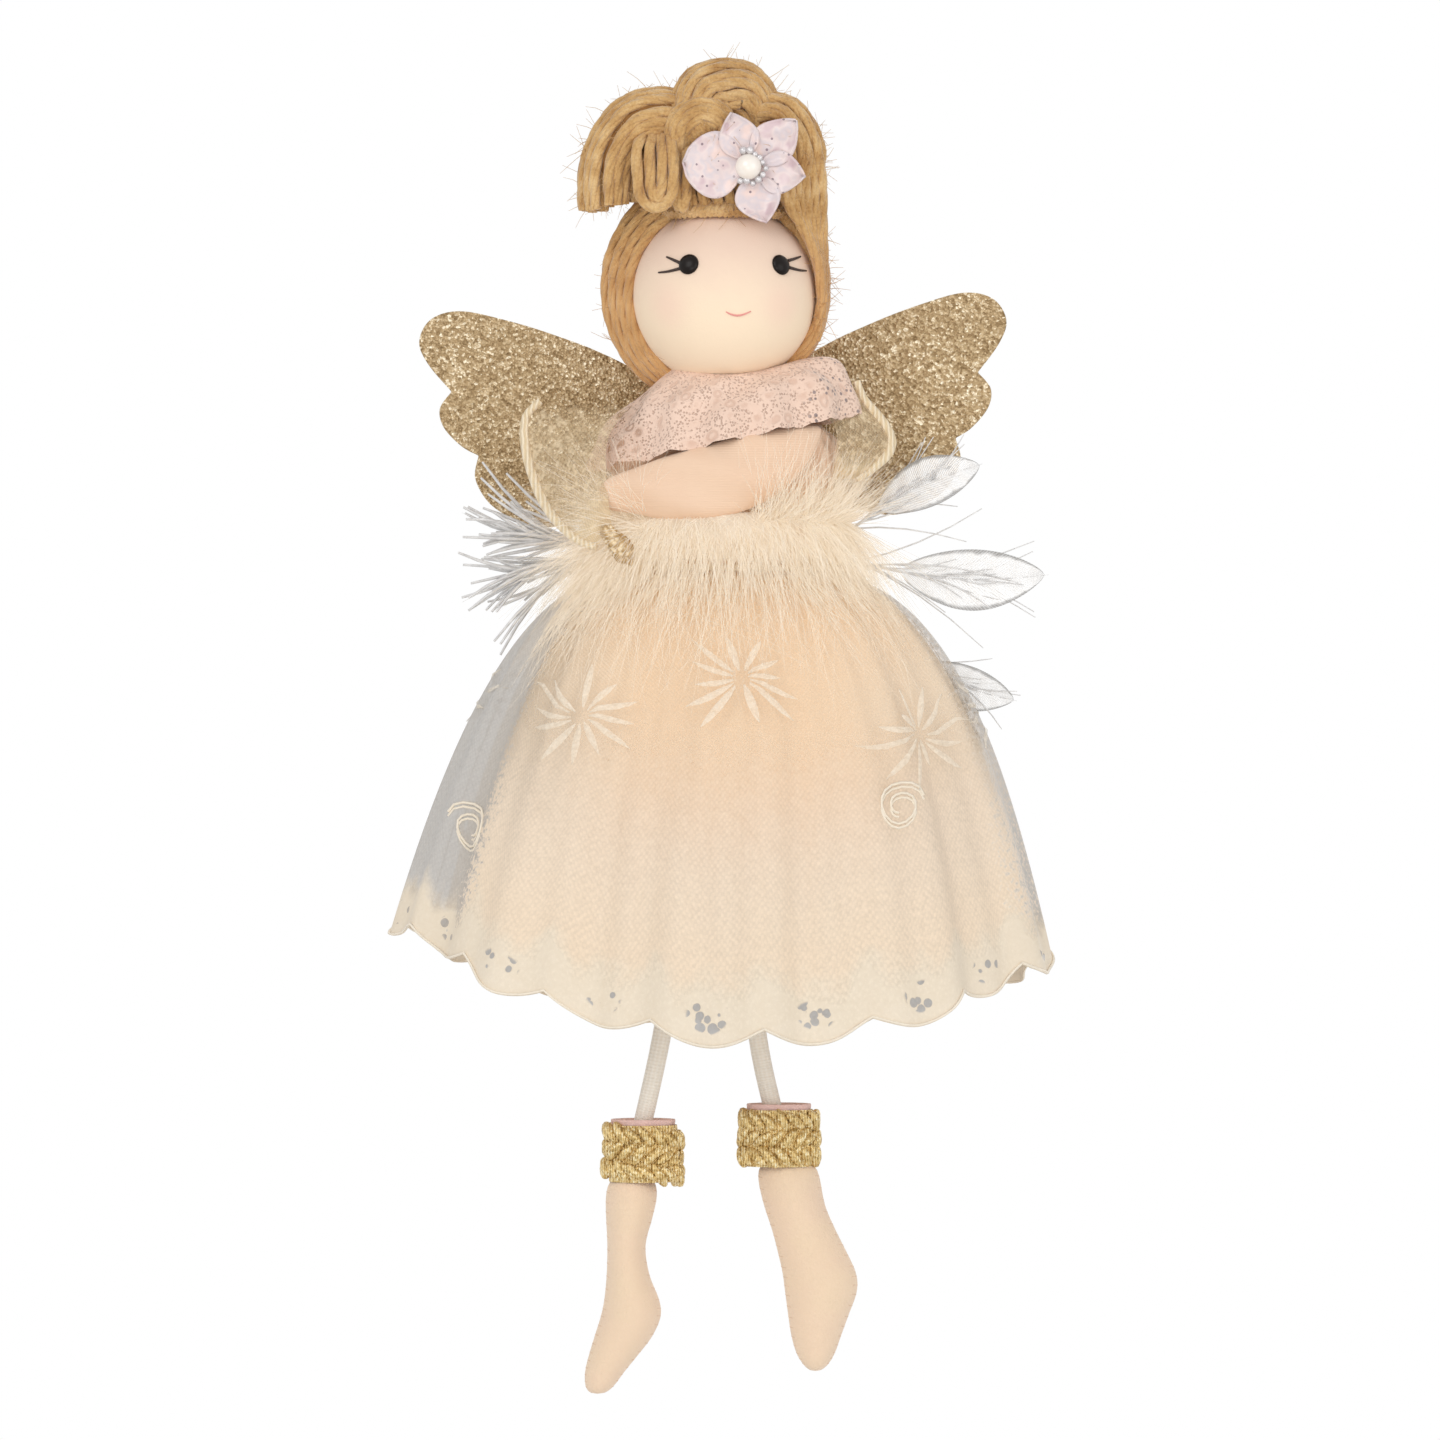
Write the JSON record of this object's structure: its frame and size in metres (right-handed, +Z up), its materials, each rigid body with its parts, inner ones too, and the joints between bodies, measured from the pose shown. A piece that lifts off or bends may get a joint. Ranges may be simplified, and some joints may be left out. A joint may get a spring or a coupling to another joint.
{
  "type": "hanging angel doll ornament",
  "caption": "Hanging angel doll with a ball head, yarn hair, glitter wings, a scalloped lace skirt over a lining, and stuffed boots that swing on limp leg cords.",
  "frame": {"origin": "the crown of the hair, the point that the doll hangs from", "axes": "+Z up along the hanging doll, -Y the way that the face looks, +X to the right as seen from the front"},
  "size_m": [0.1062, 0.0621, 0.2161],
  "materials": {
    "skin": "fine knitted skin cloth",
    "bead": "gloss",
    "yarn": "twisted yarn",
    "petal": "iridescent satin",
    "pearl": "pearl",
    "wood": "plain",
    "stuffing": "stuffed cloth",
    "satin": "satin",
    "lace": "embroidered net",
    "sheer": "sheer gauze",
    "cord": "cotton cord",
    "feather": "fluffy",
    "glitter": "gold glitter",
    "felt": "felt",
    "tinsel": "metallic braid",
    "lining": "plain cloth"
  },
  "bodies": {
    "doll": {"head_skin": "skin", "head_core": "wood", "neck_peg": "wood", "eye_left": "bead", "eye_right": "bead", "hair_cap": "yarn", "hair_lock_top": "yarn", "hair_lock_left": "yarn", "hair_lock_right": "yarn", "hair_side_left": "yarn", "hair_side_right": "yarn", "hair_petal_left": "petal", "hair_petal_top": "petal", "hair_petal_upper_right": "petal", "hair_petal_right": "petal", "hair_petal_bottom": "petal", "hair_pearl": "pearl", "torso_core": "stuffing", "bodice_wrap": "satin", "lace_collar": "lace", "feather_band": "feather", "waist_tie": "cord", "lace_overskirt": "lace", "underskirt": "satin", "sleeve_rim_left": "cord", "sleeve_left": "sheer", "sleeve_rim_right": "cord", "sleeve_right": "sheer", "sleeve_cuff_left": "lace", "feather_left_upper": "feather", "feather_left_lower": "feather", "feather_right_upper": "feather", "feather_right_plume": "feather", "feather_right_lower": "feather", "wing_panel": "glitter"},
    "left_leg": {"leg_cord_left": "cord"},
    "left_boot": {"boot_cuff_left": "tinsel", "boot_lining_left": "lining", "boot_left": "felt"},
    "right_leg": {"leg_cord_right": "cord"},
    "right_boot": {"boot_cuff_right": "tinsel", "boot_lining_right": "lining", "boot_right": "felt"}
  },
  "joints": [
    {"name": "left_leg_swing", "type": "hinge", "parent": "doll", "child": "left_leg", "pos_m": [-0.004, 0, -0.0986], "axis": [1, 0, 0], "range_deg": [-20, 20]},
    {"name": "left_boot_swing", "type": "hinge", "parent": "left_leg", "child": "left_boot", "pos_m": [-0.0129, 0, -0.1711], "axis": [1, 0, 0], "range_deg": [-30, 30]},
    {"name": "right_leg_swing", "type": "hinge", "parent": "doll", "child": "right_leg", "pos_m": [0.003, 0, -0.0986], "axis": [1, 0, 0], "range_deg": [-20, 20]},
    {"name": "right_boot_swing", "type": "hinge", "parent": "right_leg", "child": "right_boot", "pos_m": [0.0076, 0, -0.1686], "axis": [1, 0, 0], "range_deg": [-30, 30]}
  ]
}
